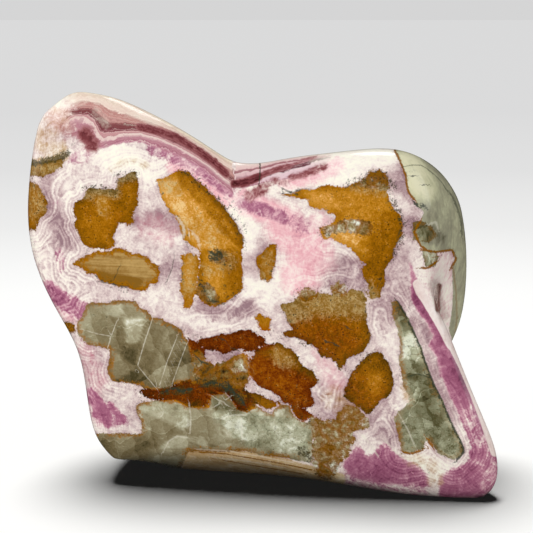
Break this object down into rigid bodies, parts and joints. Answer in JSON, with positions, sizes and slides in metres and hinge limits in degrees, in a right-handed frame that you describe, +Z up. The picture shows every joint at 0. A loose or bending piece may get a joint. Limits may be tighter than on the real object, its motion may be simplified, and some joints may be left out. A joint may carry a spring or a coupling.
{
  "type": "polished cobaltoan calcite freeform",
  "caption": "Polished freeform of banded pink cobaltoan calcite with orange and green-grey clasts, standing upright on a flat ground base.",
  "frame": {"origin": "middle of the stone's footprint box, on the flat ground base it stands on", "axes": "+X to the right along the stone's width, seen from its polished front face; +Y from the front face to the back; +Z up"},
  "size_m": [0.142, 0.0646, 0.1194],
  "materials": {
    "banded_calcite": "polished"
  },
  "bodies": {
    "root": {"polished_stone": "banded_calcite"}
  },
  "joints": []
}
